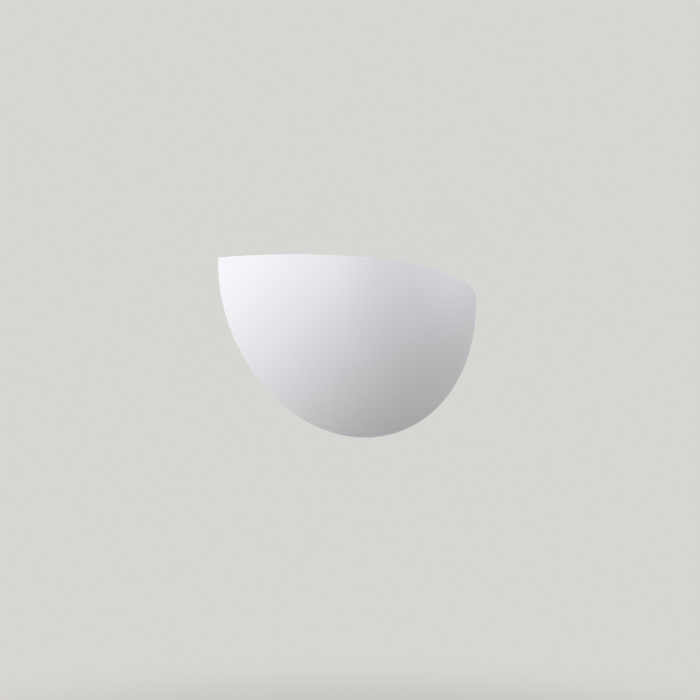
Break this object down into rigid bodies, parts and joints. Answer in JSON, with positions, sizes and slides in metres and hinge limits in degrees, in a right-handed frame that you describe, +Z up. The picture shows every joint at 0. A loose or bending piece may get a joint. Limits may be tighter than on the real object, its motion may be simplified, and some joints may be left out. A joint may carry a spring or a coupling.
{
  "type": "uplighter wall sconce",
  "caption": "Half-dome uplighter wall sconce: a lift-off shade on a wall pan, over a linear lamp, reflector and sprung lampholder.",
  "frame": {"origin": "middle of the two wall fixing slots, on the wall face", "axes": "+X along the wall, +Y into the wall, so the light stands at -Y, +Z up"},
  "size_m": [0.3, 0.096, 0.15],
  "materials": {
    "white_paint": "fine matt powder coat",
    "bright_steel": "nickel-plated, knurled",
    "zinc_steel": "bright zinc plate",
    "grommet_rubber": "matt",
    "terminal_plastic": "moulded polyamide",
    "brass": "plain",
    "tinned_copper": "tin plate",
    "brown_sleeve": "silicone sleeve",
    "blue_sleeve": "silicone sleeve",
    "earth_sleeve": "silicone sleeve, green and yellow",
    "silicone": "moulded silicone",
    "bright_aluminium": "bright rolled",
    "white_ceramic": "unglazed steatite",
    "nickel": "nickel plate",
    "spring_steel": "stainless spring",
    "quartz": "clear fused quartz",
    "tungsten": "drawn wire",
    "clear_glass": "toughened, ground edges"
  },
  "bodies": {
    "wall_unit": {"lock_nuts": "zinc_steel", "wall_pan": "white_paint", "cover_spacers": "zinc_steel", "cover_plate": "white_paint", "cover_screws": "zinc_steel", "cable_grommet": "grommet_rubber", "terminal_block": "terminal_plastic", "terminal_tubes": "brass", "clamp_screws": "zinc_steel", "block_screws": "zinc_steel", "earth_screw": "brass", "earth_tag": "tinned_copper", "lead_live": "brown_sleeve", "lead_neutral": "blue_sleeve", "lead_earth": "earth_sleeve", "lead_bushes": "silicone", "lead_crimps": "tinned_copper", "lamp_bracket": "zinc_steel", "bracket_screws": "zinc_steel", "bracket_nuts": "zinc_steel", "reflector": "bright_aluminium", "reflector_rivets": "bright_aluminium", "holder_left": "white_ceramic", "holder_right": "white_ceramic", "holder_screws": "zinc_steel", "fixed_contact": "nickel", "contact_spring": "spring_steel", "spring_seat": "nickel", "glass_clip_left": "spring_steel", "glass_clip_right": "spring_steel", "clip_rivets": "bright_aluminium"},
    "shade": {"shade": "white_paint", "hanger_left": "white_paint", "hanger_right": "white_paint"},
    "lock_left": {"lock_screw_left": "bright_steel"},
    "lock_right": {"lock_screw_right": "bright_steel"},
    "lamp": {"lamp_tube": "quartz", "lamp_filament": "tungsten", "lamp_caps": "white_ceramic", "lamp_contacts": "nickel"},
    "contact": {"sprung_contact": "nickel"},
    "glass": {"glass_cover": "clear_glass"}
  },
  "joints": [
    {"name": "shade_lift", "type": "slide", "parent": "wall_unit", "child": "shade", "axis": [0, 0, 1], "range_m": [0, 0.02]},
    {"name": "lock_left_travel", "type": "slide", "parent": "wall_unit", "child": "lock_left", "axis": [0, -1, 0], "range_m": [0, 0.005]},
    {"name": "lock_right_travel", "type": "slide", "parent": "wall_unit", "child": "lock_right", "axis": [0, -1, 0], "range_m": [0, 0.005]},
    {"name": "lamp_push", "type": "slide", "parent": "wall_unit", "child": "lamp", "axis": [1, 0, 0], "range_m": [0, 0.0035], "stiffness_N_per_m": 800, "springref_m": -0.005},
    {"name": "contact_travel", "type": "slide", "parent": "wall_unit", "child": "contact", "axis": [1, 0, 0], "range_m": [0, 0.0035], "deforming": ["contact_spring"]},
    {"name": "glass_lift", "type": "slide", "parent": "wall_unit", "child": "glass", "axis": [0, 0, 1], "range_m": [0, 0.04]}
  ],
  "couplings": [
    {"joint": "contact_travel", "follows": "lamp_push", "ratio": 1}
  ]
}
